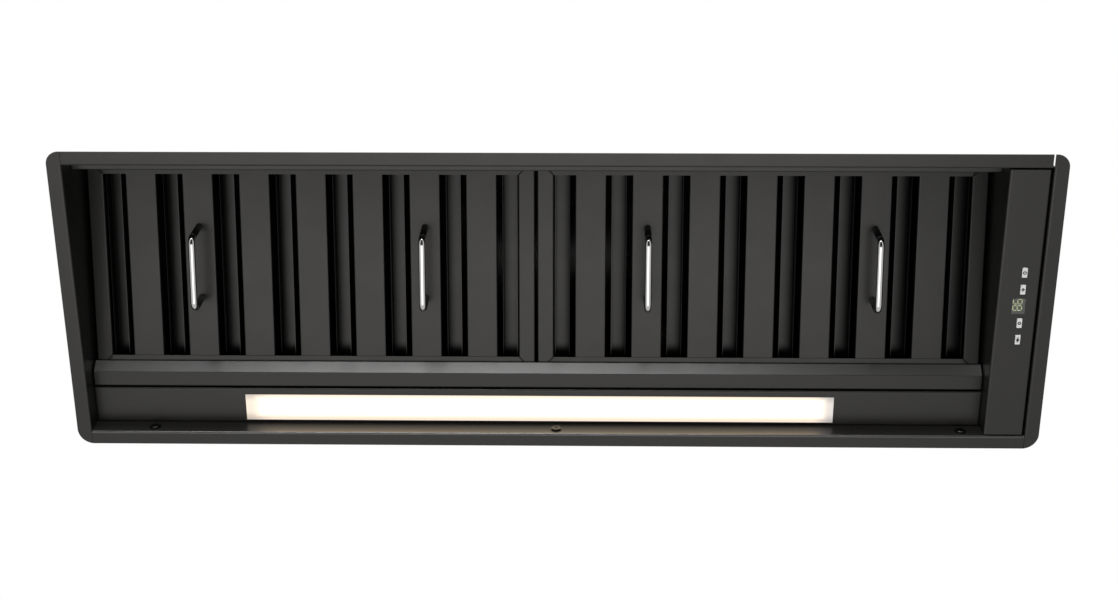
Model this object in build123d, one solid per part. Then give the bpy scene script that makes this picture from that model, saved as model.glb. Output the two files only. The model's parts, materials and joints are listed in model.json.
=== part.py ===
from build123d import *
from math import cos, radians, sin, sqrt, tan
import os

# An undermount range hood, 1200 mm class, that fits up into a cabinet's floor.
# +X is to the cook's right, +Y to the wall behind the hood, +Z up, in millimetres.
# The origin is the centre of the lower face of the flange that covers the cut-out.

# Overall size and the flange
hood_width = 1170.0
hood_depth = 370.0
side_flange = 17.0
end_flange = 16.5
front_corner_radius = 15.0
rear_corner_radius = 19.0
open_seam = 2.0
canopy_height = 150.0
wall_break_z = 52.0
front_lean = 15.8

# Sheet metal
skin = 1.2
trim_sheet = 1.0
slat_sheet = 0.8
fold = 1.2
tight_fold = 0.6
roof_tab = 18.0

# Fits
slide_gap = 0.3
end_gap = 0.3
guide_gap = 0.25
hole_gap = 0.1
running_gap = 0.05

# Grease filters
filter_tilt = 9.5
filter_front_z = 84.4
filter_front_seat = 8.25
filter_rear_seat = 15.55
filter_thickness = 25.0
filter_pair_gap = 3.6
filter_side_gap = 2.95
rail_width = 19.2
rail_top_width = 12.0
rail_lip = 4.0
lower_slat_count = 7
slat_side_gap = 1.65
lower_slat_width = 36.6
lower_slat_height = 11.0
upper_slat_width = 18.0
upper_slat_tip = 7.0

# Filter handles
handle_rod = 8.0
handle_span = 87.0
handle_standoff = 41.0
handle_lean = 11.0
handle_bend = 9.0
handle_shift = -4.4
handle_screw_length = 7.0

# Ledge under the filters' front rails
ledge_leg_bottom = 5.0
ledge_nose_reach = 14.9
ledge_nose_z = 33.5
ledge_shelf_width = 8.1
ledge_left_gap = 0.4
ledge_rivet_inset = 48.0

# Grease channel under the filters' rear rails
channel_face_run = 12.1
channel_floor_width = 18.5
channel_floor_z = 28.0
channel_lip_width = 12.6
channel_hook = 14.0
channel_end_gap = 1.6
channel_light_gap = 2.5
drain_slot_length = 40.0
drain_slot_width = 5.0
drain_slot_count = 16
drain_end_inset = 40.0
drain_setback = 8.05
hook_screw_setback = 8.7
hook_screw_inset = 88.0

# Light
light_depth = 46.0
light_height = 33.0
light_front_lip = 14.0
light_rear_lip = 5.0
light_window_x = 722.0
light_window_y = 34.0
light_window_shift = 3.25
light_window_setback = 8.5
light_end_gap = 0.5
light_rivet_inset = 68.0
diffuser_rim = 3.0
diffuser_rear_rim = 0.8
diffuser_rim_thickness = 1.5
carrier_depth = 15.0
carrier_width = 26.0
carrier_setback = 2.0
board_sheet = 1.6
board_width = 20.0
board_end_inset = 4.0
led_end_inset = 12.0
led_count = 48
led_size = 3.0
led_height = 0.8

# Control panel and what is behind it
panel_bay = 49.5
panel_recess = 1.2
panel_side_gap = 2.4
panel_end_gap = 1.8
panel_return = 22.0
panel_roof_tab = 12.0
panel_rivet_inset = 48.5
control_inset = 28.5
control_pitch = 21.1
button_x = 5.8
button_y = 11.8
button_corner = 0.4
button_proud = 0.9
button_travel = 0.7
button_rim = 1.2
button_rim_thickness = 1.0
window_x = 15.6
window_y = 19.2
window_rim = 1.0
window_inset = 25.5
carrier_wall = 2.0
carrier_x = 32.0
carrier_y = 150.0
carrier_height = 9.0
switch_size = 6.0
switch_height = 3.5
stem_size = 3.0
module_x = 20.0
module_y = 24.0
module_thickness = 4.0
control_screw_inset = 4.5
control_screw_length = 7.6
boss_radius = 3.7

# Fan
housing_x = 310.0
housing_y = 239.0
housing_flange = 15.0
housing_corner = 3.0
housing_rear_margin = 4.0
housing_screw_inset = 25.0
roof_ledge = 15.0
wheel_radius = 60.0
wheel_inner_radius = 49.0
wheel_width = 160.0
wheel_ring = 2.0
blade_count = 36
blade_sheet = 1.0
blade_lean = 10.0
hub_radius = 12.0
hub_length = 18.0
volute_radius = 92.0
volute_step = 7.0
volute_drop = 1.0
tongue_angle = 70.0
cheek_gap = 6.0
inlet_radius = 50.0
inlet_lip = 4.0
outlet_tab = 12.0
outlet_tab_start = 48.0
outlet_tab_end = 88.0
tab_screw_inset = 9.0
tab_screw_gap = 1.0
fan_forward = 30.0
fan_floor_gap = 1.0
fan_head = 88.0
shaft_radius = 4.0
shaft_past_hub = 2.0
motor_radius = 40.0
motor_length = 73.0
motor_wall = 4.0
motor_corner = 3.0
rotor_radius = 22.0
rotor_length = 40.0
air_gap = 0.5
stator_radius = 34.0
bearing_radius = 11.0
bearing_width = 7.0
bracket_sheet = 2.0
bracket_hub_radius = 30.0
bracket_arm_width = 14.0
bracket_reach = 66.0
bracket_angles = (-90.0, 30.0, 150.0)
bracket_screw_inset = 7.0
motor_screw_inset = 9.0
capacitor_radius = 16.0
capacitor_length = 55.0
capacitor_corner = 2.0
capacitor_inset = 24.5
capacitor_rise = 60.0

# Outlet
duct_radius = 74.5
duct_wall = 2.0
duct_height = 45.0
spigot_flange_radius = 92.0
spigot_flange_sheet = 2.0
spigot_screw_radius = 84.0
pin_radius = 1.5
pin_height = 15.0
flap_sheet = 1.0
flap_edge_gap = 1.0
knuckle_radius = 3.0
knuckle_width = 10.0
knuckle_gap = 0.6
knuckle_bridge = 2.0
knuckle_places = (17.0, 35.0)
stop_lip = 3.5
stop_lip_sheet = 1.5

# Electrical boxes
terminal_x, terminal_y, terminal_z = 90.0, 60.0, 35.0
terminal_inset = 148.0
terminal_centre_y = 20.0
terminal_wall = 2.0
terminal_lid_sheet = 2.5
terminal_corner = 4.0
block_x, block_y, block_z = 50.0, 14.0, 6.0
block_centre_y = 23.0
clamp_x, clamp_y, clamp_z = 8.0, 10.0, 8.0
clamp_count = 4
clamp_pitch = 12.0
gland_bore = 4.0
gland_radius = 9.0
gland_neck = 6.0
gland_cap_radius = 7.5
gland_hex_length = 7.2
gland_length = 18.0
power_x, power_y, power_z = 38.0, 140.0, 50.0
power_centre_y, power_bottom_z = -50.0, 60.0
driver_x, driver_y, driver_z = 24.0, 100.0, 30.0
driver_rear_gap, driver_bottom_z = 23.5, 65.0
unit_corner = 2.0

# Fasteners
rivet_radius = 1.6
rivet_head_radius = 3.2
rivet_head = 1.0
rivet_inset = 16.0
screw_past_nut = 2.0
m4_radius = 2.0
m4_head_radius = 3.8
m4_head = 2.4
m3_radius = 1.25
m3_head_radius = 2.6
m3_head = 1.8
fixing_radius = 2.1
fixing_neck_radius = 1.7
fixing_neck = 1.5
fixing_washer_radius = 7.0
fixing_washer = 0.8
fixing_head_radius = 5.8
fixing_head = 1.6
fixing_reach = 12.0
fixing_z = 13.0
fixing_inset = 75.0

# Sizes that follow
half_width = hood_width / 2
half_depth = hood_depth / 2
wall_x = half_width - side_flange
wall_y = half_depth - end_flange
roof_z = canopy_height - skin
panel_left_x = wall_x - panel_bay
control_x = panel_left_x + control_inset
window_centre_x = panel_left_x + window_inset
light_front_y = wall_y - light_depth
channel_back_y = light_front_y - channel_light_gap
channel_crease_y = channel_back_y - channel_floor_width
channel_crest_y = channel_crease_y - channel_face_run
channel_lip_end_y = channel_crest_y + channel_lip_width
ledge_nose_y = -wall_y + ledge_nose_reach
ledge_shelf_end_y = ledge_nose_y + ledge_shelf_width
tilt = radians(filter_tilt)
filter_front_y = ledge_shelf_end_y - filter_front_seat
filter_rear_y = channel_crest_y + filter_rear_seat
filter_length = (filter_rear_y - filter_front_y) / cos(tilt)
filter_centre_y = (filter_front_y + filter_rear_y) / 2
filter_centre_z = filter_front_z - (filter_rear_y - filter_front_y) / 2 * tan(tilt)
filter_width = (panel_left_x + wall_x - filter_pair_gap) / 2 - filter_side_gap
slat_pitch = (filter_width - 2 * (rail_width + slat_side_gap) - upper_slat_width) / lower_slat_count
lower_slat_places = [step - (lower_slat_count - 1) / 2 for step in range(lower_slat_count)]
handle_places = (lower_slat_places[1], lower_slat_places[-2])
filters_middle_x = (panel_left_x - wall_x) / 2
light_window_centre_x = filters_middle_x + light_window_shift
light_window_centre_y = light_front_y + light_window_setback + light_window_y / 2
filter_centres_x = {
    "left": filters_middle_x - (filter_width + filter_pair_gap) / 2,
    "right": filters_middle_x + (filter_width + filter_pair_gap) / 2,
}
light_top_z = channel_floor_z + light_height
outlet_y = wall_y - housing_rear_margin - housing_flange - housing_y / 2
fan_centre_y = outlet_y - fan_forward
capacitor_y = outlet_y + housing_y / 2 - capacitor_inset
capacitor_z = canopy_height + capacitor_rise
terminal_centre = (wall_x - terminal_inset, terminal_centre_y)
driver_centre_y = wall_y - driver_rear_gap - driver_y / 2
wheel_centre_z = canopy_height + fan_floor_gap + trim_sheet + volute_radius + volute_drop
cheek_x = wheel_width / 2 + cheek_gap
tab_screw_x = max(cheek_x + skin + outlet_tab / 2,
                  sqrt((spigot_flange_radius + m4_head_radius + tab_screw_gap) ** 2
                       - (outlet_tab_start + tab_screw_inset - fan_forward) ** 2))
fan_top_z = wheel_centre_z + fan_head
housing_top_z = fan_top_z + skin
pin_z = housing_top_z + pin_height
control_places = [step * control_pitch for step in (-2, -1, 1, 2)]
button_names = ("button_power", "button_fan", "button_timer", "button_light")


# Building helpers

def block(x0, x1, y0, y1, z0, z1):
    """A box between two corners."""
    return Pos((x0 + x1) / 2, (y0 + y1) / 2, (z0 + z1) / 2) * Box(x1 - x0, y1 - y0, z1 - z0)


def rod(start, direction, radius, length):
    """A cylinder from a point along a direction."""
    at_start = Align.CENTER, Align.CENTER, Align.MIN
    return Plane(origin=start, z_dir=direction) * Cylinder(radius, length, align=at_start)


def along_x(section, start, end):
    """A section drawn in Y and Z, carried from one X to another."""
    return extrude(Plane.YZ.offset(start) * section, end - start)


def along_y(section, start, end):
    """A section drawn in X and Z, carried from one Y to another."""
    return extrude(Plane.XZ.offset(-start) * section, start - end)


def folded_sheet(path, sheet, radius):
    """The section of a sheet folded along a path, with its metal on the path's left."""
    near = [Vector(*point) for point in path]
    ways = [(after - before).normalized() for before, after in zip(near, near[1:])]
    lefts = [Vector(-way.Y, way.X) for way in ways]
    far = [near[0] + lefts[0] * sheet]
    for corner, before, after in zip(near[1:], lefts, lefts[1:]):
        far.append(corner + (before + after) * (sheet / (1 + before.dot(after))))
    far.append(near[-1] + lefts[-1] * sheet)
    section = make_face(Polyline(*near, *reversed(far), close=True)).face()
    for place in range(1, len(near) - 1):
        before, after = ways[place - 1], ways[place]
        turns_left = before.X * after.Y > before.Y * after.X
        outside, inside = (near, far) if turns_left else (far, near)
        for corner, bend in ((outside[place], radius + sheet), (inside[place], radius)):
            nearest = min(section.vertices(), key=lambda v: (v.center() - corner).length)
            section = section.fillet_2d(bend, [nearest])
    return section


def screw(seat, direction, radius, length, head_radius, head):
    """A plain screw: its shank runs from the seat along the direction, its head stands behind."""
    back = tuple(-value for value in direction)
    return rod(seat, direction, radius, length) + rod(seat, back, head_radius, head)


def m4(seat, direction, length):
    return screw(seat, direction, m4_radius, length, m4_head_radius, m4_head)


def m3(seat, direction, length):
    return screw(seat, direction, m3_radius, length, m3_head_radius, m3_head)


def rivet(seat, direction, grip):
    """A rivet through sheets of a total grip, with a head at each end."""
    body = screw(seat, direction, rivet_radius, grip, rivet_head_radius, rivet_head)
    far = Vector(*seat) + Vector(*direction) * grip
    return body + rod(tuple(far), direction, rivet_head_radius, rivet_head)


def holes(places, direction, radius, after=4.0, before=1.0):
    """Hole cutters through seats, reaching after and before each seat along the direction."""
    way = Vector(*direction)
    starts = [tuple(Vector(*place) - way * before) for place in places]
    return [rod(start, direction, radius + hole_gap, before + after) for start in starts]


def steps(start, end, count):
    """Evenly spaced values from start to end."""
    return [start + (end - start) * step / (count - 1) for step in range(count)]


def filter_plane_z(y):
    """Height of the filters' lower face above a point of the depth."""
    return filter_centre_z - (y - filter_centre_y) * tan(tilt)


def front_wall_y(z):
    """Inner face of the front wall at a height: upright at first, then leaning back."""
    return -wall_y + max(z - wall_break_z, 0) * tan(radians(front_lean))


def body_profile(growth):
    """The hollow between the front and rear walls seen from the side, grown by a distance."""
    low, high = -canopy_height, 2 * canopy_height
    outline = Polyline((-wall_y, low), (-wall_y, wall_break_z), (front_wall_y(high), high),
                       (wall_y, high), (wall_y, low), close=True)
    return offset(make_face(outline), growth, kind=Kind.INTERSECTION)


# Places that two pieces share

roof_rivets = [(side * (wall_x - roof_tab / 2), y, canopy_height + skin) for side in (-1, 1)
               for y in steps(front_wall_y(roof_z) + rivet_inset, wall_y - rivet_inset, 5)]
ledge_rivets = [(x, -wall_y - skin, (ledge_leg_bottom + ledge_nose_z) / 2)
                for x in steps(-wall_x + ledge_rivet_inset, panel_left_x - ledge_rivet_inset, 6)]
light_rivets = [(x, wall_y + skin, light_top_z - light_height / 3)
                for x in steps(-wall_x + light_rivet_inset, panel_left_x - light_rivet_inset, 6)]
panel_rivets = [(panel_left_x + panel_roof_tab / 2 + skin, y, canopy_height)
                for y in steps(-wall_y + panel_rivet_inset, wall_y - panel_rivet_inset, 3)]
hook_screws = [(x, channel_back_y + hook_screw_setback, light_top_z + trim_sheet)
               for x in steps(-wall_x + hook_screw_inset, panel_left_x - hook_screw_inset, 4)]
fixing_seats = [(x, wall_y, fixing_z) for x in steps(-wall_x + fixing_inset, wall_x - fixing_inset, 3)]
housing_seats = [(x, outlet_y + side * (housing_y + housing_flange) / 2, canopy_height + skin)
                 for side in (-1, 1)
                 for x in steps(-housing_x / 2 + housing_screw_inset,
                                housing_x / 2 - housing_screw_inset, 3)]
spigot_seats = [(spigot_screw_radius * cos(radians(a)),
                 outlet_y + spigot_screw_radius * sin(radians(a)),
                 housing_top_z + spigot_flange_sheet) for a in (45, 135, 225, 315)]
tab_seats = [(side * tab_screw_x, fan_centre_y + y, housing_top_z)
             for side in (-1, 1)
             for y in (outlet_tab_start + tab_screw_inset, outlet_tab_end - tab_screw_inset)]
bracket_seats = [(-cheek_x - skin - bracket_sheet,
                  fan_centre_y + (bracket_reach - bracket_screw_inset) * cos(radians(a)),
                  wheel_centre_z + (bracket_reach - bracket_screw_inset) * sin(radians(a)))
                 for a in bracket_angles]
motor_seats = [(-cheek_x - skin - bracket_sheet,
                fan_centre_y + (bracket_hub_radius - motor_screw_inset) * cos(radians(a + 60)),
                wheel_centre_z + (bracket_hub_radius - motor_screw_inset) * sin(radians(a + 60)))
               for a in bracket_angles]
control_screw_seats = [(control_x + dx, dy, panel_recess + skin + carrier_height + board_sheet)
                       for dx in (-carrier_x / 2 + control_screw_inset,
                                  carrier_x / 2 - control_screw_inset)
                       for dy in (-carrier_y / 2 + control_screw_inset,
                                  carrier_y / 2 - control_screw_inset)]


# Canopy

def corner_outline():
    """The plan of the flange with its rounded corners, as tall as the canopy."""
    outline = block(-half_width, half_width, -half_depth, half_depth, 0, canopy_height + skin)
    uprights = outline.edges().filter_by(Axis.Z)
    outline = fillet(uprights.group_by(Axis.Y)[0], front_corner_radius)
    uprights = outline.edges().filter_by(Axis.Z)
    return fillet(uprights.group_by(Axis.Y)[-1], rear_corner_radius)


def canopy_shell():
    """Front wall, roof and rear wall in one sheet, with the front and rear flanges."""
    path = [(-half_depth, 0), (-wall_y, 0), (-wall_y, wall_break_z),
            (front_wall_y(roof_z), roof_z), (wall_y, roof_z), (wall_y, 0), (half_depth, 0)]
    shell = along_x(folded_sheet(path, skin, fold), -wall_x, wall_x) & corner_outline()
    shell -= block(wall_x - open_seam, wall_x, -half_depth, -wall_y - skin, 0, skin)
    for side in (-1, 1):
        outer, inner = side * wall_x, side * (wall_x - fold - hole_gap)
        shell -= block(min(outer, inner), max(outer, inner), -half_depth, half_depth,
                       canopy_height - fold - hole_gap, canopy_height)
    opening_x, opening_y = housing_x / 2 - roof_ledge, housing_y / 2 - roof_ledge
    shell -= block(-opening_x, opening_x, outlet_y - opening_y, outlet_y + opening_y,
                   roof_z, canopy_height)
    shell -= holes(roof_rivets, (0, 0, -1), rivet_radius)
    shell -= holes(panel_rivets, (0, 0, -1), rivet_radius)
    shell -= holes(ledge_rivets, (0, 1, 0), rivet_radius)
    shell -= holes(light_rivets, (0, -1, 0), rivet_radius)
    shell -= holes(fixing_seats, (0, 1, 0), fixing_radius)
    shell -= holes(housing_seats, (0, 0, -1), m4_radius)
    return shell


def side_panel():
    """The right-hand side wall, with its flange, rounded corners and roof tab."""
    path = [(wall_x - roof_tab, canopy_height), (wall_x, canopy_height),
            (wall_x, 0), (half_width, 0)]
    panel = along_y(folded_sheet(path, skin, fold), -wall_y - skin, wall_y + skin)
    panel &= along_x(body_profile(skin), 0, half_width)
    for side in (-1, 1):
        near, far = side * (wall_y + skin), side * half_depth
        panel += block(wall_x, half_width, min(near, far), max(near, far), 0, skin)
    panel &= corner_outline()
    return panel - holes(roof_rivets, (0, 0, -1), rivet_radius)


def front_filter_ledge():
    """The folded trim inside the front wall, whose shelf carries the filters' front rails."""
    below = (slide_gap + trim_sheet) / cos(tilt)
    path = [(-wall_y + trim_sheet, ledge_leg_bottom), (-wall_y + trim_sheet, ledge_nose_z),
            (ledge_nose_y, ledge_nose_z), (ledge_nose_y, filter_plane_z(ledge_nose_y) - below),
            (ledge_shelf_end_y, filter_plane_z(ledge_shelf_end_y) - below)]
    ledge = along_x(folded_sheet(path, trim_sheet, tight_fold),
                    -wall_x + ledge_left_gap, panel_left_x - end_gap)
    return ledge - holes(ledge_rivets, (0, 1, 0), rivet_radius)


def grease_channel():
    """The trough behind the filters: its lip carries their rear rails and its hook hangs it."""
    lip_z = filter_plane_z(channel_lip_end_y) - slide_gap / cos(tilt)
    crest_z = filter_plane_z(channel_crest_y) - slide_gap / cos(tilt)
    path = [(channel_lip_end_y, lip_z), (channel_crest_y, crest_z),
            (channel_crease_y, channel_floor_z), (channel_back_y, channel_floor_z),
            (channel_back_y, light_top_z), (channel_back_y + channel_hook, light_top_z)]
    start, end = -wall_x + channel_end_gap, panel_left_x - channel_end_gap
    channel = along_x(folded_sheet(path, trim_sheet, tight_fold), start, end)
    plate = make_face(Polyline((channel_crest_y + 2.5 * trim_sheet, crest_z - 1.5 * trim_sheet),
                               (channel_crease_y, channel_floor_z + trim_sheet / 2),
                               (channel_back_y - trim_sheet / 2, channel_floor_z + trim_sheet / 2),
                               (channel_back_y - trim_sheet / 2, crest_z - 1.5 * trim_sheet),
                               close=True))
    for x0 in (start, end - trim_sheet):
        channel += along_x(plate, x0, x0 + trim_sheet)
    drain_y = channel_crest_y + drain_setback
    for x in steps(start + drain_end_inset, end - drain_end_inset, drain_slot_count):
        channel -= block(x - drain_slot_length / 2, x + drain_slot_length / 2,
                         drain_y - drain_slot_width / 2, drain_y + drain_slot_width / 2,
                         lip_z - 3, crest_z + 3)
    return channel - holes(hook_screws, (0, 0, -1), m4_radius)


# Light

def light_housing():
    """The folded tray between the channel and the rear wall, with the lamp's window."""
    path = [(light_front_y + light_front_lip, light_top_z), (light_front_y, light_top_z),
            (light_front_y, channel_floor_z), (wall_y, channel_floor_z),
            (wall_y, light_top_z), (wall_y - light_rear_lip, light_top_z)]
    start, end = -wall_x + light_end_gap, panel_left_x - light_end_gap
    tray = along_x(folded_sheet(path, skin, fold), start, end)
    inner = skin + fold
    for x0, x1 in ((start, start + skin), (end - skin, end)):
        tray += block(x0, x1, light_front_y + inner, wall_y - inner,
                      channel_floor_z, light_top_z - skin)
    tray -= block(light_window_centre_x - light_window_x / 2,
                  light_window_centre_x + light_window_x / 2,
                  light_window_centre_y - light_window_y / 2,
                  light_window_centre_y + light_window_y / 2,
                  channel_floor_z, channel_floor_z + skin)
    tray -= holes(light_rivets, (0, -1, 0), rivet_radius)
    return tray - holes(hook_screws, (0, 0, -1), m4_radius)


def light_lid():
    """The flat cover on the tray, behind the channel's hook."""
    start, end = -wall_x + light_end_gap, panel_left_x - light_end_gap
    front = channel_back_y + channel_hook + slide_gap
    return block(start + skin, end - skin, front, wall_y - slide_gap,
                 light_top_z, light_top_z + trim_sheet)


def led_diffuser():
    """The opal strip: it fills the window, and its rim lies on the tray."""
    x, y = light_window_centre_x, light_window_centre_y
    lens_x, lens_y = light_window_x / 2 - guide_gap, light_window_y / 2 - guide_gap
    rim_x = light_window_x / 2 + diffuser_rim
    rim_front = y - light_window_y / 2 - diffuser_rim
    rim_rear = y + light_window_y / 2 + diffuser_rear_rim
    lens = block(x - lens_x, x + lens_x, y - lens_y, y + lens_y,
                 channel_floor_z, channel_floor_z + skin)
    return lens + block(x - rim_x, x + rim_x, rim_front, rim_rear,
                        channel_floor_z + skin, channel_floor_z + skin + diffuser_rim_thickness)


def led_carrier():
    """The channel under the lid that holds the board and takes its heat."""
    x, y = light_window_centre_x, light_window_centre_y + carrier_setback
    half, low = carrier_width / 2, light_top_z - carrier_depth
    path = [(y - half, light_top_z), (y - half, low), (y + half, low), (y + half, light_top_z)]
    return along_x(folded_sheet(path, trim_sheet, tight_fold),
                   x - light_window_x / 2, x + light_window_x / 2)


def led_board():
    """The strip board under the carrier, with its row of light sources."""
    x, y = light_window_centre_x, light_window_centre_y + carrier_setback
    top = light_top_z - carrier_depth
    half = light_window_x / 2 - board_end_inset
    board = block(x - half, x + half, y - board_width / 2, y + board_width / 2,
                  top - board_sheet, top)
    under = top - board_sheet - led_height
    reach = light_window_x / 2 - led_end_inset
    for place in steps(x - reach, x + reach, led_count):
        board += block(place - led_size / 2, place + led_size / 2,
                       y - led_size / 2, y + led_size / 2, under, top - board_sheet)
    return board


# Controls

def control_panel():
    """The folded cover at the right: the face with the keys, and the wall of the control bay."""
    path = [(panel_left_x + panel_roof_tab, roof_z), (panel_left_x, roof_z),
            (panel_left_x, panel_recess), (wall_x - panel_side_gap, panel_recess),
            (wall_x - panel_side_gap, panel_recess + panel_return)]
    panel = along_y(folded_sheet(path, skin, fold), -wall_y, wall_y)
    panel &= along_x(body_profile(-panel_end_gap), 0, half_width)
    for y in control_places:
        panel -= block(control_x - button_x / 2 - guide_gap, control_x + button_x / 2 + guide_gap,
                       y - button_y / 2 - guide_gap, y + button_y / 2 + guide_gap,
                       panel_recess, panel_recess + skin)
    panel -= block(window_centre_x - window_x / 2 - hole_gap,
                   window_centre_x + window_x / 2 + hole_gap,
                   -window_y / 2 - hole_gap, window_y / 2 + hole_gap,
                   panel_recess, panel_recess + skin)
    return panel - holes(panel_rivets, (0, 0, -1), rivet_radius)


def button(y):
    """One key: a cap in the panel's hole, a rim behind it and a stem towards its switch."""
    floor = panel_recess + skin
    cap = block(control_x - button_x / 2, control_x + button_x / 2, y - button_y / 2,
                y + button_y / 2, panel_recess - button_proud, floor + slide_gap)
    rim = block(control_x - button_x / 2 - button_rim, control_x + button_x / 2 + button_rim,
                y - button_y / 2 - button_rim, y + button_y / 2 + button_rim,
                floor + slide_gap, floor + slide_gap + button_rim_thickness)
    stem_top = floor + carrier_height - switch_height - button_travel - slide_gap
    stem = block(control_x - stem_size / 2, control_x + stem_size / 2, y - stem_size / 2,
                 y + stem_size / 2, floor + slide_gap, stem_top)
    edges = cap.edges().filter_by(Axis.Z)
    return fillet(edges, button_corner) + rim + stem


def display_window():
    """The clear pane in the panel, with its rim behind the sheet."""
    floor = panel_recess + skin
    pane = block(window_centre_x - window_x / 2, window_centre_x + window_x / 2,
                 -window_y / 2, window_y / 2, panel_recess, floor)
    rim = block(window_centre_x - window_x / 2 - window_rim,
                window_centre_x + window_x / 2 + window_rim,
                -window_y / 2 - window_rim, window_y / 2 + window_rim,
                floor, floor + button_rim_thickness)
    return pane + rim


def display_module():
    """The two-digit display between the pane and the board."""
    floor = panel_recess + skin + button_rim_thickness
    top = panel_recess + skin + carrier_height
    face = block(window_centre_x - module_x / 2, window_centre_x + module_x / 2, -module_y / 2,
                 module_y / 2, floor, floor + module_thickness)
    return face + block(window_centre_x - module_x / 4, window_centre_x + module_x / 4,
                        -module_y / 4, module_y / 4, floor + module_thickness, top)


def control_carrier():
    """The moulded frame between the panel and the board, with a boss at each corner."""
    floor = panel_recess + skin
    top = floor + carrier_height
    frame = block(control_x - carrier_x / 2, control_x + carrier_x / 2,
                  -carrier_y / 2, carrier_y / 2, floor, top)
    frame -= block(control_x - carrier_x / 2 + carrier_wall,
                   control_x + carrier_x / 2 - carrier_wall,
                   -carrier_y / 2 + carrier_wall, carrier_y / 2 - carrier_wall, floor, top)
    for x, y, _ in control_screw_seats:
        frame += rod((x, y, floor), (0, 0, 1), boss_radius, carrier_height)
    return frame - holes(control_screw_seats, (0, 0, -1), m3_radius, control_screw_length + 1, 0)


def control_board():
    """The printed board on the carrier, with a switch over each key."""
    bottom = panel_recess + skin + carrier_height
    board = block(control_x - carrier_x / 2, control_x + carrier_x / 2,
                  -carrier_y / 2, carrier_y / 2, bottom, bottom + board_sheet)
    for y in control_places:
        board += block(control_x - switch_size / 2, control_x + switch_size / 2,
                       y - switch_size / 2, y + switch_size / 2,
                       bottom - switch_height, bottom)
    return board - holes(control_screw_seats, (0, 0, -1), m3_radius)


def boxed_unit(x, y, z, centre_y, bottom_z):
    """A closed box fastened to the right side wall inside the control bay."""
    unit = block(wall_x - x, wall_x, centre_y - y / 2, centre_y + y / 2, bottom_z, bottom_z + z)
    return fillet(unit.edges().filter_by(Axis.X), unit_corner)


# Filters, in a frame of their own: x across, y down the slope to the rear, z out of the top

def place_filter(piece, side):
    seat = Pos(filter_centres_x[side], filter_centre_y, filter_centre_z)
    return seat * Rot(-filter_tilt, 0, 0) * piece


def filter_frame():
    """Four mitred rails that hold the slats between their lower and upper flanges."""
    half_w, half_l, height = filter_width / 2, filter_length / 2, filter_thickness
    rails = []
    for side in (-1, 1):
        side_path = [(rail_top_width, height), (0, height), (0, 0), (rail_width, 0),
                     (rail_width, rail_lip)]
        section = folded_sheet(side_path, trim_sheet, tight_fold)
        rail = Pos(-half_w, 0, 0) * along_y(section, -half_l, half_l)
        plan = make_face(Polyline((-half_w, -half_l), (-half_w, half_l),
                                  (-half_w + rail_width, half_l - rail_width),
                                  (-half_w + rail_width, -half_l + rail_width), close=True))
        rail &= extrude(plan, height)
        rails.append(rail if side < 0 else mirror(rail, Plane.YZ))
        section = folded_sheet(side_path[:-1], trim_sheet, tight_fold)
        rail = Pos(0, -half_l, 0) * along_x(section, -half_w, half_w)
        plan = make_face(Polyline((-half_w, -half_l), (half_w, -half_l),
                                  (half_w - rail_width, -half_l + rail_width),
                                  (-half_w + rail_width, -half_l + rail_width), close=True))
        rail &= extrude(plan, height)
        rails.append(rail if side < 0 else mirror(rail, Plane.XZ))
    return rails


def slat_reach():
    """Half the length of a slat, which ends inside the front and rear rails."""
    return filter_length / 2 - trim_sheet - tight_fold


def lower_slats():
    """Channels that open upwards, whose webs are the wide bars seen from below."""
    half, top = lower_slat_width / 2, trim_sheet + lower_slat_height
    path = [(-half, top), (-half, trim_sheet), (half, trim_sheet), (half, top)]
    section = folded_sheet(path, slat_sheet, tight_fold)
    bar = along_y(section, -slat_reach(), slat_reach())
    slats = []
    for place in lower_slat_places:
        slat = Pos(place * slat_pitch, 0, 0) * bar
        if place in handle_places:
            seats = [(x, y, z + slat_sheet) for x, y, z in handle_feet(place)]
            slat -= holes(seats, (0, 0, -1), m4_radius, slat_sheet + 1)
        slats.append(slat)
    return slats


def upper_slats():
    """Channels that open downwards, over the gaps between the lower ones."""
    half, top = upper_slat_width / 2, filter_thickness - trim_sheet
    path = [(half, upper_slat_tip), (half, top), (-half, top), (-half, upper_slat_tip)]
    section = folded_sheet(path, slat_sheet, tight_fold)
    bar = along_y(section, -slat_reach(), slat_reach())
    first = -lower_slat_count / 2 * slat_pitch
    return [Pos(first + place * slat_pitch, 0, 0) * bar for place in range(lower_slat_count + 1)]


def handle_feet(place):
    """Where a handle's two posts meet the lower face of its slat."""
    return [(place * slat_pitch, handle_shift + end * handle_span / 2, trim_sheet)
            for end in (-1, 1)]


def filter_handle(place):
    """A round bar whose two legs lean to the rear, drilled for the screws that hold it."""
    front, rear = (Vector(*foot) for foot in handle_feet(place))
    leg = Vector(0, handle_standoff * tan(radians(handle_lean)), -handle_standoff)
    start = leg * (-handle_rod / handle_standoff)
    line = FilletPolyline(front + start, front + leg, rear + leg, rear + start, radius=handle_bend)
    handle = sweep(Plane(origin=front + start, z_dir=leg) * Circle(handle_rod / 2), line)
    handle -= block(front.X - handle_rod, front.X + handle_rod, front.Y - handle_span,
                    rear.Y + handle_span, trim_sheet, trim_sheet + handle_standoff)
    return handle - holes(handle_feet(place), (0, 0, -1), m4_radius, handle_screw_length)


def handle_screws():
    """The screws that hold both handles, with their heads inside the slats."""
    seats = [(x, y, z + slat_sheet) for place in handle_places
             for x, y, z in handle_feet(place)]
    return [m4(seat, (0, 0, -1), handle_screw_length) for seat in seats]


# Fan

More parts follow.
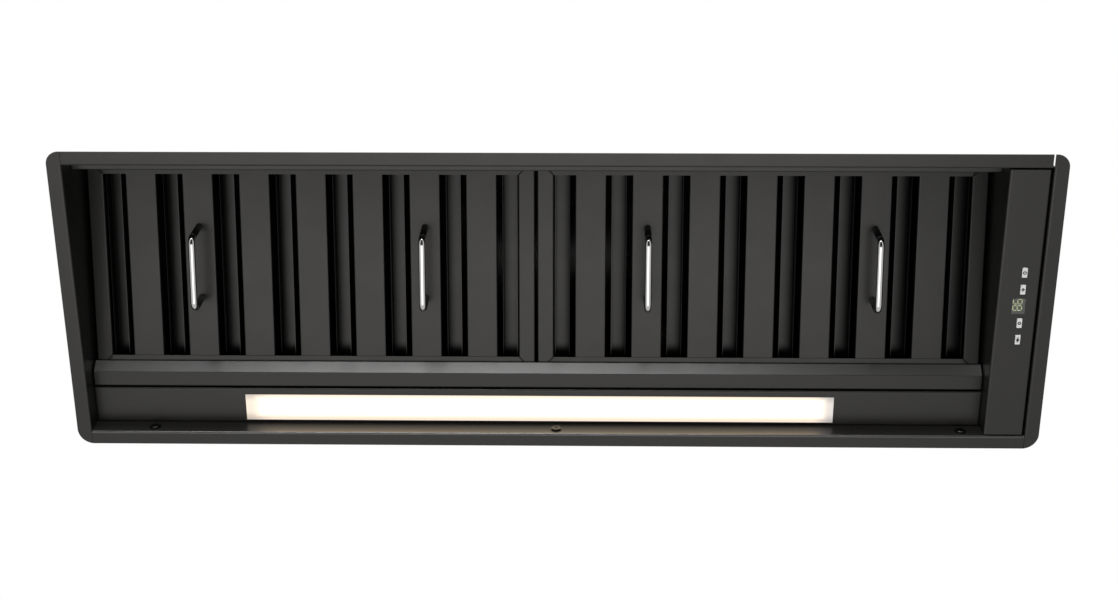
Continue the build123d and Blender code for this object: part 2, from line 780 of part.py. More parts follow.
def fan_casing_faces():
    """The casing's inside and its outside: four arcs that tighten by a step each quarter."""
    r, d, drop = volute_radius, volute_step, volute_drop
    last_radius = r - 3 * d
    arcs = [CenterArc((0, -drop), r, 0, -90), CenterArc((0, -drop - d), r - d, -90, -90),
            CenterArc((-d, -drop - d), r - 2 * d, 180, -90),
            CenterArc((-d, -drop), last_radius, 90, tongue_angle - 90)]
    tongue = (-d + last_radius * cos(radians(tongue_angle)),
              -drop + last_radius * sin(radians(tongue_angle)))
    mouth_front = fan_forward - duct_radius + duct_wall
    mouth_rear = fan_forward + duct_radius - duct_wall
    inside = make_face(arcs + [Line(tongue, (mouth_front, fan_head)),
                               Line((mouth_front, fan_head), (mouth_rear, fan_head)),
                               Line((mouth_rear, fan_head), (r, -drop))])
    outside = offset(inside, trim_sheet)
    outside -= Pos(0, fan_head + r / 2) * Rectangle(4 * r, r)
    place = Pos(fan_centre_y, wheel_centre_z)
    return place * inside, place * outside


def fan_casing():
    """The curved wrapper between the two cheeks."""
    inside, outside = fan_casing_faces()
    return along_x(outside - inside, -cheek_x, cheek_x)


def fan_cheek(side):
    """A flat cheek with its inlet, the inlet's lip and the tab that hangs it from the top."""
    _, outside = fan_casing_faces()
    centre = (side * cheek_x, fan_centre_y, wheel_centre_z)
    outward, inward = (side, 0, 0), (-side, 0, 0)
    cheek = along_x(outside, min(side * cheek_x, side * (cheek_x + skin)),
                    max(side * cheek_x, side * (cheek_x + skin)))
    cheek += rod(centre, inward, inlet_radius + trim_sheet, inlet_lip)
    x0, x1 = side * (cheek_x + skin), side * (tab_screw_x + outlet_tab / 2)
    cheek += block(min(x0, x1), max(x0, x1), fan_centre_y + outlet_tab_start,
                   fan_centre_y + outlet_tab_end, fan_top_z - skin, fan_top_z)
    start = (side * (cheek_x - 2 * inlet_lip), fan_centre_y, wheel_centre_z)
    cheek -= rod(start, outward, inlet_radius, 3 * inlet_lip)
    cheek -= holes(tab_seats, (0, 0, -1), m4_radius)
    if side < 0:
        cheek -= holes(bracket_seats, (1, 0, 0), m4_radius, bracket_sheet + 2 * skin)
    return cheek


def blade():
    """The section of one blade, a forward-curved strip of even thickness."""
    lean = radians(blade_lean)
    inner, outer = wheel_inner_radius + blade_sheet, wheel_radius - blade_sheet
    middle = (inner + outer) / 2
    start = (inner, 0)
    end = (outer * cos(lean), outer * sin(lean))
    through = (middle * cos(lean / 4), middle * sin(lean / 4))
    curve = ThreePointArc(start, through, end)
    return make_face(offset(curve, blade_sheet / 2, side=Side.BOTH))


def fan_wheel():
    """The double-inlet wheel: a centre disc, two end rings, the blades and the hub."""
    half = wheel_width / 2
    wheel = rod((-wheel_ring / 2, 0, 0), (1, 0, 0), wheel_radius, wheel_ring)
    ring = rod((0, 0, 0), (1, 0, 0), wheel_radius, wheel_ring)
    ring -= rod((0, 0, 0), (1, 0, 0), wheel_inner_radius, wheel_ring)
    strip = along_x(blade(), -half, half)
    blades = [Rot(360 * place / blade_count, 0, 0) * strip for place in range(blade_count)]
    wheel = wheel.fuse(Pos(-half, 0, 0) * ring, Pos(half - wheel_ring, 0, 0) * ring, *blades)
    wheel += rod((-hub_length / 2, 0, 0), (1, 0, 0), hub_radius, hub_length)
    wheel -= rod((-half, 0, 0), (1, 0, 0), shaft_radius, wheel_width)
    return Pos(0, fan_centre_y, wheel_centre_z) * wheel


def motor_places():
    """X of the motor's outer face, its inner face and the middle of its rotor."""
    start = -cheek_x - skin
    return start, start + motor_length, start + motor_length / 2


def motor_case():
    """The motor's can with its end walls, bored for the shaft and the bearings."""
    start, end, _ = motor_places()
    centre = (start, fan_centre_y, wheel_centre_z)
    case = rod(centre, (1, 0, 0), motor_radius, motor_length)
    case = fillet(case.edges().filter_by(GeomType.CIRCLE), motor_corner)
    inner = (start + motor_wall, fan_centre_y, wheel_centre_z)
    case -= rod(inner, (1, 0, 0), stator_radius, motor_length - 2 * motor_wall)
    case += rod(inner, (1, 0, 0), bearing_radius + motor_wall / 2, bearing_width)
    seat = (end - motor_wall - bearing_width, fan_centre_y, wheel_centre_z)
    case += rod(seat, (1, 0, 0), bearing_radius + motor_wall / 2, bearing_width)
    case -= rod(inner, (1, 0, 0), bearing_radius, motor_length - 2 * motor_wall)
    case -= rod(inner, (1, 0, 0), shaft_radius + 1, motor_length)
    return case - holes(motor_seats, (1, 0, 0), m4_radius, bracket_sheet + 2 * motor_wall)


def motor_bearings():
    """Two plain bearings in the end walls, bored to run on the shaft."""
    start, end, _ = motor_places()
    rings = []
    for x in (start + motor_wall, end - motor_wall - bearing_width):
        place = (x, fan_centre_y, wheel_centre_z)
        ring = rod(place, (1, 0, 0), bearing_radius, bearing_width)
        rings.append(ring - rod(place, (1, 0, 0), shaft_radius + running_gap, bearing_width))
    return rings


def motor_stator():
    """The wound ring inside the can."""
    _, _, middle = motor_places()
    place = (middle - rotor_length / 2, fan_centre_y, wheel_centre_z)
    ring = rod(place, (1, 0, 0), stator_radius, rotor_length)
    return ring - rod(place, (1, 0, 0), rotor_radius + air_gap, rotor_length)


def motor_rotor():
    """The rotor and its shaft, which carries the wheel's hub."""
    start, _, middle = motor_places()
    core = rod((middle - rotor_length / 2, fan_centre_y, wheel_centre_z), (1, 0, 0),
               rotor_radius, rotor_length)
    first = start + motor_wall + slide_gap
    last = hub_length / 2 + shaft_past_hub
    return core + rod((first, fan_centre_y, wheel_centre_z), (1, 0, 0), shaft_radius, last - first)


def motor_bracket():
    """The three-armed plate across the left inlet that carries the motor."""
    place = (-cheek_x - skin - bracket_sheet, fan_centre_y, wheel_centre_z)
    bracket = rod(place, (1, 0, 0), bracket_hub_radius, bracket_sheet)
    for angle in bracket_angles:
        arm = block(0, bracket_sheet, 0, bracket_reach, -bracket_arm_width / 2,
                    bracket_arm_width / 2)
        bracket += Pos(*place) * Rot(angle, 0, 0) * arm
    bracket -= holes(bracket_seats, (1, 0, 0), m4_radius)
    return bracket - holes(motor_seats, (1, 0, 0), m4_radius)


def motor_screws():
    """The screws of the bracket's arms, then those of the motor."""
    arms = [m4(seat, (1, 0, 0), bracket_sheet + skin + screw_past_nut) for seat in bracket_seats]
    return arms + [m4(seat, (1, 0, 0), bracket_sheet + motor_wall) for seat in motor_seats]


def run_capacitor():
    """The capacitor that stands off the housing's right wall."""
    seat = (housing_x / 2 - skin, capacitor_y, capacitor_z)
    can = rod(seat, (-1, 0, 0), capacitor_radius, capacitor_length)
    return fillet(can.edges().filter_by(GeomType.CIRCLE), capacitor_corner)


def blower_housing():
    """The box over the fan, with flanges on the roof and the round outlet."""
    x, front, rear = housing_x / 2, outlet_y - housing_y / 2, outlet_y + housing_y / 2
    box = block(-x, x, front, rear, canopy_height, housing_top_z)
    box = fillet(box.edges().filter_by(Axis.Z), housing_corner)
    box += block(-x - housing_flange, x + housing_flange, front - housing_flange,
                 rear + housing_flange, canopy_height, canopy_height + skin)
    box -= block(-x + skin, x - skin, front + skin, rear - skin, canopy_height, fan_top_z)
    box -= rod((0, outlet_y, fan_top_z), (0, 0, 1), duct_radius - duct_wall, skin)
    box -= holes(housing_seats, (0, 0, -1), m4_radius)
    box -= holes(tab_seats, (0, 0, -1), m4_radius)
    return box - holes(spigot_seats, (0, 0, -1), m4_radius, spigot_flange_sheet + 2 * skin)


# Outlet

def outlet_spigot():
    """The round collar that takes the duct, with the stop lip for the flaps."""
    up, base = (0, 0, 1), (0, 0, housing_top_z)
    spigot = rod(base, up, spigot_flange_radius, spigot_flange_sheet)
    spigot += rod(base, up, duct_radius, duct_height)
    spigot -= rod(base, up, duct_radius - duct_wall, duct_height)
    lip_top = pin_z - flap_sheet / 2 - slide_gap
    lip = rod((0, 0, lip_top - stop_lip_sheet), up, duct_radius - duct_wall, stop_lip_sheet)
    lip -= rod((0, 0, lip_top - stop_lip_sheet), up, duct_radius - duct_wall - stop_lip,
               stop_lip_sheet)
    lip -= block(-duct_radius, duct_radius, -knuckle_radius - knuckle_bridge,
                 knuckle_radius + knuckle_bridge,
                 lip_top - stop_lip_sheet, lip_top)
    spigot += lip
    spigot -= rod((-duct_radius, 0, pin_z), (1, 0, 0), pin_radius, 2 * duct_radius)
    return Pos(0, outlet_y, 0) * spigot - holes(spigot_seats, (0, 0, -1), m4_radius)


def damper_pin():
    """The pin across the collar that both flaps turn on."""
    reach = duct_radius - duct_wall / 2
    return rod((-reach, outlet_y, pin_z), (1, 0, 0), pin_radius, 2 * reach)


def damper_flap(side, place):
    """A half disc with two knuckles on the pin, on one side of it."""
    radius = duct_radius - duct_wall - flap_edge_gap
    edge = knuckle_radius + knuckle_gap
    plate = rod((0, 0, pin_z - flap_sheet / 2), (0, 0, 1), radius, flap_sheet)
    low, high = (edge, 2 * radius) if side > 0 else (-2 * radius, -edge)
    plate &= block(-2 * radius, 2 * radius, low, high, pin_z - flap_sheet, pin_z + flap_sheet)
    for x in (-place, place):
        plate += rod((x - knuckle_width / 2, 0, pin_z), (1, 0, 0), knuckle_radius, knuckle_width)
        near, far = sorted((0, side * (edge + knuckle_bridge)))
        plate += block(x - knuckle_width / 2, x + knuckle_width / 2, near, far,
                       pin_z - flap_sheet / 2, pin_z + flap_sheet / 2)
    plate -= rod((-duct_radius, 0, pin_z), (1, 0, 0), pin_radius + running_gap, 2 * duct_radius)
    return Pos(0, outlet_y, 0) * plate


# Electrical boxes on the roof

def terminal_box():
    """The tray of the mains connection box on the roof."""
    x, y = terminal_centre
    box = block(x - terminal_x / 2, x + terminal_x / 2, y - terminal_y / 2, y + terminal_y / 2,
                canopy_height, canopy_height + terminal_z)
    box = fillet(box.edges().filter_by(Axis.Z), terminal_corner)
    box -= block(x - terminal_x / 2 + terminal_wall, x + terminal_x / 2 - terminal_wall,
                 y - terminal_y / 2 + terminal_wall, y + terminal_y / 2 - terminal_wall,
                 canopy_height + terminal_wall, canopy_height + terminal_z)
    return box - rod(gland_seat(), (0, -1, 0), gland_neck, terminal_wall + 1)


def terminal_lid():
    """The flat lid of the connection box."""
    x, y = terminal_centre
    lid = block(x - terminal_x / 2, x + terminal_x / 2, y - terminal_y / 2, y + terminal_y / 2,
                canopy_height + terminal_z, canopy_height + terminal_z + terminal_lid_sheet)
    return fillet(lid.edges().filter_by(Axis.Z), terminal_corner)


def terminal_block():
    """The row of terminals inside the box."""
    x, y = terminal_centre[0], block_centre_y
    base = canopy_height + terminal_wall
    top = base + block_z
    strip = block(x - block_x / 2, x + block_x / 2, y - block_y / 2, y + block_y / 2, base, top)
    reach = clamp_pitch * (clamp_count - 1) / 2
    for place in steps(x - reach, x + reach, clamp_count):
        strip += block(place - clamp_x / 2, place + clamp_x / 2, y - clamp_y / 2, y + clamp_y / 2,
                       top, top + clamp_z)
    return strip


def gland_seat():
    """The centre of the cable gland on the outer face of the box's rear wall."""
    return (terminal_centre[0], terminal_centre[1] + terminal_y / 2,
            canopy_height + terminal_z / 2)


def cable_gland():
    """The gland for the mains cable, which is not part of the hood."""
    x, y, z = gland_seat()
    gland = rod((x, y - terminal_wall, z), (0, 1, 0), gland_neck - hole_gap, 2 * terminal_wall)
    gland += rod((x, y, z), (0, 1, 0), gland_radius, gland_hex_length)
    gland += rod((x, y, z), (0, 1, 0), gland_cap_radius, gland_length)
    return gland - rod((x, y - terminal_wall, z), (0, 1, 0), gland_bore, gland_length + terminal_wall)


# Fastener groups

def canopy_rivets():
    """The rivets that join the canopy, the ledge, the light housing and the control panel."""
    two_skins = 2 * skin
    group = [rivet(seat, (0, 0, -1), two_skins) for seat in roof_rivets + panel_rivets]
    group += [rivet(seat, (0, 1, 0), skin + trim_sheet) for seat in ledge_rivets]
    return group + [rivet(seat, (0, -1, 0), two_skins) for seat in light_rivets]


def fixing_screws():
    """The three pan-head screws, each on its washer, through the rear wall into the cabinet."""
    group = []
    for x, y, z in fixing_seats:
        piece = screw((x, y, z), (0, 1, 0), fixing_neck_radius, fixing_neck,
                      fixing_washer_radius, fixing_washer)
        piece += rod((x, y + fixing_neck, z), (0, 1, 0), fixing_radius,
                     skin + fixing_reach - fixing_neck)
        head = rod((x, y, z), (0, -1, 0), fixing_head_radius, fixing_washer + fixing_head)
        head = fillet(head.edges().filter_by(GeomType.CIRCLE).sort_by(Axis.Y)[0], fixing_head / 2)
        group.append(piece + head)
    return group


def channel_screws():
    return [m4(seat, (0, 0, -1), trim_sheet + skin + screw_past_nut) for seat in hook_screws]


def housing_screws():
    """The screws of the housing's flanges, of the fan casing's tabs and of the collar."""
    group = [m4(seat, (0, 0, -1), 2 * skin + screw_past_nut) for seat in housing_seats + tab_seats]
    return group + [m4(seat, (0, 0, -1), spigot_flange_sheet + skin + screw_past_nut)
                    for seat in spigot_seats]


def control_screws():
    return [m3(seat, (0, 0, -1), control_screw_length) for seat in control_screw_seats]


# Every piece under its own name

def all_pieces():
    right_panel = side_panel()
    pieces = {
        "canopy_shell": canopy_shell(),
        "side_panel_right": right_panel,
        "side_panel_left": mirror(right_panel, Plane.YZ),
        "front_filter_ledge": front_filter_ledge(),
        "grease_channel": grease_channel(),
        "light_housing": light_housing(),
        "light_lid": light_lid(),
        "led_diffuser": led_diffuser(),
        "led_carrier": led_carrier(),
        "led_board": led_board(),
        "control_panel": control_panel(),
        "display_window": display_window(),
        "display_module": display_module(),
        "control_carrier": control_carrier(),
        "control_board": control_board(),
        "power_unit": boxed_unit(power_x, power_y, power_z, power_centre_y, power_bottom_z),
        "led_driver": boxed_unit(driver_x, driver_y, driver_z, driver_centre_y, driver_bottom_z),
        "fan_casing": fan_casing(),
        "fan_cheek_left": fan_cheek(-1),
        "fan_cheek_right": fan_cheek(1),
        "fan_wheel": fan_wheel(),
        "motor_case": motor_case(),
        "motor_stator": motor_stator(),
        "motor_bearings": motor_bearings(),
        "motor_rotor": motor_rotor(),
        "motor_bracket": motor_bracket(),
        "motor_screws": motor_screws(),
        "run_capacitor": run_capacitor(),
        "blower_housing": blower_housing(),
        "outlet_spigot": outlet_spigot(),
        "damper_pin": damper_pin(),
        "damper_flap_front": damper_flap(-1, knuckle_places[0]),
        "damper_flap_rear": damper_flap(1, knuckle_places[1]),
        "terminal_box": terminal_box(),
        "terminal_lid": terminal_lid(),
        "terminal_block": terminal_block(),
        "cable_gland": cable_gland(),
        "canopy_rivets": canopy_rivets(),
        "fixing_screws": fixing_screws(),
        "channel_screws": channel_screws(),
        "housing_screws": housing_screws(),
        "control_screws": control_screws(),
    }
    for name, y in zip(button_names, control_places):
        pieces[name] = button(y)
    shared = {
        "frame": filter_frame(),
        "lower_slats": lower_slats(),
        "upper_slats": upper_slats(),
        "handle_outer": filter_handle(handle_places[0]),
        "handle_inner": filter_handle(handle_places[1]),
        "handle_screws": handle_screws(),
    }
    for side in filter_centres_x:
        for name, shape in shared.items():
            group = shape if isinstance(shape, list) else [shape]
            pieces[f"filter_{name}_{side}"] = [place_filter(piece, side) for piece in group]
    return pieces


os.makedirs("parts", exist_ok=True)
for name, shape in all_pieces().items():
    group = shape if isinstance(shape, list) else [shape]
    solids = [solid for piece in group for solid in piece.solids()]
    node = solids[0] if len(solids) == 1 else Compound(solids)
    export_step(node, f"parts/{name}.step")
    box = node.bounding_box()
    print(f"{name}: {len(solids)} solids, z {box.min.Z:.1f} to {box.max.Z:.1f}")
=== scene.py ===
import json
from math import cos, pi, radians, sin

import bpy
from mathutils import Matrix, Vector


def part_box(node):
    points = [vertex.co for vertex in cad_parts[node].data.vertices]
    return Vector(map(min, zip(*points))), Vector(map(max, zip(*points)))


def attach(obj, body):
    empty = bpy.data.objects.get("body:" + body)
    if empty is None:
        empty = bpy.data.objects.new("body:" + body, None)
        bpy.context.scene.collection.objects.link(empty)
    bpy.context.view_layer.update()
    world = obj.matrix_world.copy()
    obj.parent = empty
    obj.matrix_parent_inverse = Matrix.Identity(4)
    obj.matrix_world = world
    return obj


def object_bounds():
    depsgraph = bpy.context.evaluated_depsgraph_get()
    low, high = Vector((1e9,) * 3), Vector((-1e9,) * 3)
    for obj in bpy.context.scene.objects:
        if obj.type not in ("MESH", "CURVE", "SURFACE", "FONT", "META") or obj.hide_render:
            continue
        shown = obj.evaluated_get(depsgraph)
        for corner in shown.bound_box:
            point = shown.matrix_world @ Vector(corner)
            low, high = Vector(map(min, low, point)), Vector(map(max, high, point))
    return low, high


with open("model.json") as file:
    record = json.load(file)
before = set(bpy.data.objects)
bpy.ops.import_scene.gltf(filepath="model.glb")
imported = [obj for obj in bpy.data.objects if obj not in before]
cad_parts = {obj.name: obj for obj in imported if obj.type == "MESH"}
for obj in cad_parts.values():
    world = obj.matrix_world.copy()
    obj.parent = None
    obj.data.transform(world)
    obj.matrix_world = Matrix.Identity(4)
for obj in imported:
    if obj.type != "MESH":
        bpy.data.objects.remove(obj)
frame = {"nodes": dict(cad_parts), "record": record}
cad_low, cad_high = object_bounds()

# Sizes are in metres, in the hood's own frame: +X to the cook's right, +Y to the wall, +Z up.
MM = 0.001


def metres(*values):
    """Millimetres as metres."""
    return tuple(value * MM for value in values)


# Camera: the photograph's viewpoint, below the hood and in front of it
PHOTO_WIDTH = 1118
FOCAL_PIXELS = 1610
SENSOR_WIDTH = 36.0
CAMERA_PLACE = Vector((0.0338, -0.6871, -1.7707))
CAMERA_YAW = radians(2.513)
CAMERA_ELEVATION = radians(68.94)
CAMERA_ROLL = radians(2.597)
CAMERA_REACH = 100.0

# Surroundings
FLOOR_Z = -3.6
FLOOR_SIZE = 160.0
SHADE_LEVEL = 0.35
MIRRORED_FLOOR = 0.45
SEEN_FLOOR = 0.35
CARD_LOW = (-2.0, -4.3)
CARD_HIGH = (2.0, -0.5)
CARD_Z = -1.95

# Lamps: name, place, what they are turned to, size, watts and colour
WHITE = (1.0, 1.0, 1.0)
LAMPS = (
    ("low_softbox", (-0.2, 0.3, -1.9), (-0.2, 0.3, 0.0), (2.1, 1.15), 11.8, (1.0, 0.975, 0.935)),
    ("front_softbox", (-0.3, -2.6, -0.45), (-0.1, 0.1, 0.03), (1.4, 0.7), 60.0, WHITE),
    ("high_softbox", (-1.6, -1.8, 2.2), (0.0, 0.0, 0.15), (3.2, 2.4), 28.0, WHITE),
    ("rear_softbox", (1.8, 2.4, 1.3), (0.0, 0.0, 0.15), (3.0, 2.2), 26.0, WHITE),
)

# Filters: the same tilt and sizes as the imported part
FILTER_TILT = radians(9.5)
FILTER_CENTRE_Y = -24.4 * MM
FILTER_CENTRE_Z = 62.755 * MM
FILTER_LENGTH = 262.3 * MM
RAIL_WIDTH = 19.2 * MM
FILTERS_MIDDLE_X = -24.75 * MM
FILTER_REACH_X = 271.05 * MM
SLAT_PITCH = 68.4 * MM

# Each of the following ramps says where a change starts and ends, and its two values.

# Painted shade on the filters: sideways is a share of the slats' pitch, the others are lengths
SHIFT_TO_MIDDLE = (0.0, 0.5, 0.12, 0.0)
RECESS_SIDEWAYS = (0.40, 0.66, 0.1, 1.0)
RECESS_REARWARD = (*metres(96, 111), 1.0, 0.1)
RECESS_UPWARD = (*metres(5.5, 6.5), 0.0, 1.0)
RECESS_LEVEL = 0.9
# Painted shade beside the hood's walls and towards the channel, and a painted shadow line on the rear
# rail's edge
BESIDE_WALL = (*metres(520.5, 521.5), 1.0, 0.7)
NEAR_CHANNEL = (*metres(0, 125), 1.0, 0.76)
REAR_EDGE = (*metres(130.2, 130.5), 1.0, 0.05)

# Painted shade on the canopy: boxes round its inner surfaces, and how much darker those are painted
PLENUM = (metres(-567.9, -168.4, 95), metres(567.9, 168.4, 149.4))
SIDE_WALL = (metres(-569, -168, 3), metres(-566, 168, 95))
BAY_WALL = (metres(517, -168, 3), metres(521, 168, 95))
WALL_SHADE = 0.6
REAR_WALL = (metres(-566.2, 168.2, 3), metres(517, 168.8, 28))
REAR_SHADE = (*metres(4, 16), 0.0, 0.4)

# The bend of the rear flange, which mirrors the light strip, and the painted highlight that raises its
# gloss there
REAR_BEND = (metres(-567.9, 168.3, -0.1), metres(567.9, 171.0, 3.2))
BEND_PAINTED_HIGHLIGHT = 1.5

# Front wall: how far it leans back for each height, and where its mid line would meet height nought
FRONT_LEAN = 0.283
FRONT_LEAN_START = -183.8 * MM

# Powder coat: its specular level, which follows the painted light and shade, and its colour in the
# deepest painted shade
COAT_GLOSS = (0.0, 1.0 + BEND_PAINTED_HIGHLIGHT, 0.02, 0.87)
DEEPEST_SHADE = (0.002, 0.002, 0.002)

# Blower's housing: its lower flange and half its skin, and the roof's underside
HOUSING_FLANGE = 15.0 * MM
HALF_SKIN = 0.6 * MM
ROOF_UNDERSIDE = 149.9 * MM
# Colour of the painted shade inside the blower's housing and below the roof
HOUSED_PAINTED_SHADE = (0.02, 0.02, 0.02)

# Handles: the heights at which the bright grip ends and the painted reflection on the legs gets lighter
GRIP_BRIGHT = (*metres(-36.5, -33.5), 1.0, 0.0)
LEG_FOOT = (*metres(-27, -4), 0.0, 1.0)

# Light strip: how it fades across, to its left end and to its right end, and its strength
LIGHT_ACROSS = (*metres(5, 17.5), 1.0, 0.0)
LIGHT_LEFT = (*metres(-361, -325), 0.0, 1.0)
LIGHT_RIGHT = (*metres(334, 361), 1.0, 0.0)
LIGHT_RIGHT_HALF = (0.0, 0.1, 0.0, 1.0)
LIGHT_STRENGTH = (0.0, 1.0, 0.5, 3.0)
LIGHT_EDGE = 0.4

# Thin lines and marks, which stand a hair proud of what carries them
SEAM_WIDTH = 0.5 * MM
SEAM_START_Y = 170.5 * MM
MITRE_WIDTH = 1.3 * MM
PROUD = 0.03 * MM
SUNK = 0.1 * MM

# Keys and display
KEY_X = 547.0 * MM
KEY_FACE_Z = 0.3 * MM
KEY_PITCH = 21.1 * MM
KEY_NAMES = ("button_power", "button_fan", "button_timer", "button_light")
DIGIT_X = 543.0 * MM
DIGIT_PLACES = metres(-5.4, 2.6)
DIGIT_HEIGHT = 10.2 * MM
DIGIT_WIDTH = 5.8 * MM
DIGIT_STROKE = 0.95 * MM
DIGIT_GAP = 0.25 * MM
DIGIT_Z = 3.3 * MM
DISPLAY_STRIP = (*metres(547.8, 548.4), 0.0, 1.0)

# Screws on the rear wall: the middle of each head's face, and how its cross is turned in degrees
FIXING_FACE_Y = 166.1 * MM
FIXING_Z = 13.0 * MM
FIXING_TURNS = ((-493.0 * MM, 20), (0.0, 62), (493.0 * MM, 38))
CROSS_REACH = 5.2
CROSS_STROKE = 1.1

SMOOTH_BELOW = radians(32)


# Node helpers

class Shader:
    """A material with a Principled shader, and short calls for the nodes that feed it."""

    def __init__(self, name):
        self.material = bpy.data.materials.new(name)
        self.material.use_nodes = True
        self.tree = self.material.node_tree
        self.surface = self.tree.nodes["Principled BSDF"]

    def node(self, kind, **values):
        made = self.tree.nodes.new(kind)
        for key, value in values.items():
            if key in made.inputs:
                made.inputs[key].default_value = value
            else:
                setattr(made, key, value)
        return made

    def link(self, out, into):
        self.tree.links.new(out, into)

    def set(self, **values):
        for key, value in values.items():
            socket = self.surface.inputs[key.replace("_", " ")]
            socket.default_value = (*value, 1.0) if isinstance(value, tuple) else value

    def place(self):
        """Object coordinates, which are the hood's own frame in metres."""
        return self.node("ShaderNodeTexCoord").outputs["Object"]

    def noise(self, scale, detail=2.0):
        noise = self.node("ShaderNodeTexNoise", Scale=scale, Detail=detail)
        self.link(self.place(), noise.inputs["Vector"])
        return noise.outputs["Fac"]

    def ramp(self, value, start, end, low, high, smooth=False):
        """Maps one range of values to another, clamped at both ends."""
        ramp = self.node("ShaderNodeMapRange")
        if smooth:
            ramp.interpolation_type = "SMOOTHSTEP"
        for key, number in (("From Min", start), ("From Max", end), ("To Min", low), ("To Max", high)):
            ramp.inputs[key].default_value = number
        self.link(value, ramp.inputs["Value"])
        return ramp.outputs["Result"]

    def spread(self, value, low, high):
        """Maps a noise around a half to a range of values."""
        return self.ramp(value, 0.3, 0.7, low, high)

    def math(self, operation, first, second=None):
        made = self.node("ShaderNodeMath", operation=operation)
        for socket, value in zip(made.inputs, (first, second)):
            if isinstance(value, (int, float)):
                socket.default_value = value
            elif value is not None:
                self.link(value, socket)
        return made.outputs["Value"]

    def product(self, *values):
        result = values[0]
        for value in values[1:]:
            result = self.math("MULTIPLY", result, value)
        return result

    def away_from(self, centre):
        """The vector from a centre, given in the hood's frame."""
        shift = self.node("ShaderNodeVectorMath", operation="SUBTRACT")
        shift.inputs[1].default_value = centre
        self.link(self.place(), shift.inputs[0])
        return shift.outputs["Vector"]

    def axis(self, name, centre=(0, 0, 0)):
        """Distance from a centre along one axis of the hood."""
        parts = self.node("ShaderNodeSeparateXYZ")
        self.link(self.away_from(centre), parts.inputs["Vector"])
        return parts.outputs[name]

    def within(self, low, high):
        """One inside a box and nothing outside it."""
        centre = [(a + b) / 2 for a, b in zip(low, high)]
        return self.product(*[
            self.math("LESS_THAN", self.math("ABSOLUTE", self.axis(name, centre)), (b - a) / 2)
            for name, a, b in zip("XYZ", low, high)])

    def blend(self, value, first, second):
        """A colour between two, each a colour or another node's output."""
        mix = self.node("ShaderNodeMix", data_type="RGBA")
        self.link(value, mix.inputs["Factor"])
        for key, colour in (("A", first), ("B", second)):
            if isinstance(colour, tuple):
                mix.inputs[key].default_value = (*colour, 1.0)
            else:
                self.link(colour, mix.inputs[key])
        return mix.outputs["Result"]

    def tint(self, value, first, second):
        self.link(self.blend(value, first, second), self.surface.inputs["Base Color"])

    def rough(self, scale, low, high):
        """Roughness that a noise moves between two values."""
        self.link(self.spread(self.noise(scale), low, high), self.surface.inputs["Roughness"])

    def bump(self, value, strength, distance=0.0002):
        bump = self.node("ShaderNodeBump", Strength=strength, Distance=distance)
        self.link(value, bump.inputs["Height"])
        self.link(bump.outputs["Normal"], self.surface.inputs["Normal"])


# Materials

def canopy_painted_shade(shader):
    """Painted light on the canopy: one on the surfaces that face down, less on the upright inner walls
    and nothing in the plenum, where shade is painted.

    More than one on the rear flange's bend, where a highlight is painted.
    """
    lean = shader.math("MULTIPLY", shader.axis("Z"), FRONT_LEAN)
    behind_front = shader.math("GREATER_THAN", shader.math("SUBTRACT", shader.axis("Y"), lean),
                               FRONT_LEAN_START)
    inside = shader.product(shader.within(*PLENUM), behind_front)
    walls = shader.math("MAXIMUM", shader.within(*SIDE_WALL), shader.within(*BAY_WALL))
    rear = shader.product(shader.ramp(shader.axis("Z"), *REAR_SHADE), shader.within(*REAR_WALL))
    shade = shader.math("MAXIMUM", inside, shader.product(walls, WALL_SHADE))
    shade = shader.math("MAXIMUM", shade, rear)
    return shader.math("ADD", shader.math("SUBTRACT", 1.0, shade),
                       shader.product(shader.within(*REAR_BEND), BEND_PAINTED_HIGHLIGHT))


def filter_axes(shader):
    """Height above the filters' lower plane, and distance from their middle down the slope."""
    sine, cosine = sin(FILTER_TILT), cos(FILTER_TILT)
    away = shader.away_from((0, FILTER_CENTRE_Y, FILTER_CENTRE_Z))
    values = []
    for direction in ((0, sine, cosine), (0, cosine, -sine)):
        dot = shader.node("ShaderNodeVectorMath", operation="DOT_PRODUCT")
        dot.inputs[1].default_value = direction
        shader.link(away, dot.inputs[0])
        values.append(dot.outputs["Value"])
    return values


def filter_painted_shade(shader):
    """Painted shade on the filters: one on the slats' lower faces, fading up between them, to each
    recess's outer side and rear end.

    Less beside the hood's walls and towards the channel, as painted shade, and nearly nothing on the
    rear rail's edge, as a painted shadow line.
    """
    height, length = filter_axes(shader)
    away = shader.math("ABSOLUTE", shader.axis("X", (FILTERS_MIDDLE_X, 0, 0)))
    turn = shader.math("FRACT", shader.math("DIVIDE", shader.math("SUBTRACT", FILTER_REACH_X, away),
                                            SLAT_PITCH))
    nearer = shader.math("ADD", turn, shader.ramp(away, *SHIFT_TO_MIDDLE))
    sideways = shader.ramp(nearer, *RECESS_SIDEWAYS, smooth=True)
    rearward = shader.ramp(length, *RECESS_REARWARD, smooth=True)
    deep = shader.ramp(height, *RECESS_UPWARD)
    lit = shader.product(sideways, rearward, RECESS_LEVEL)
    face = shader.math("SUBTRACT", 1.0, shader.product(deep, shader.math("SUBTRACT", 1.0, lit)))
    return shader.product(face, shader.ramp(away, *BESIDE_WALL), shader.ramp(length, *NEAR_CHANNEL),
                          shader.ramp(length, *REAR_EDGE))


def powder_coat(name, first, second, roughness, painted_light):
    """Satin powder coat: a fine orange peel, slow changes of tone, and painted shade where it lies
    deep, with gloss that follows the same painted light.
    """
    shader = Shader(name)
    lit = painted_light(shader)
    shader.link(shader.ramp(lit, *COAT_GLOSS), shader.surface.inputs["Specular IOR Level"])
    shader.tint(lit, DEEPEST_SHADE, shader.blend(shader.noise(9.0), first, second))
    shader.rough(35.0, roughness - 0.02, roughness + 0.02)
    shader.bump(shader.noise(1400.0, 3.0), 0.08)
    return shader.material


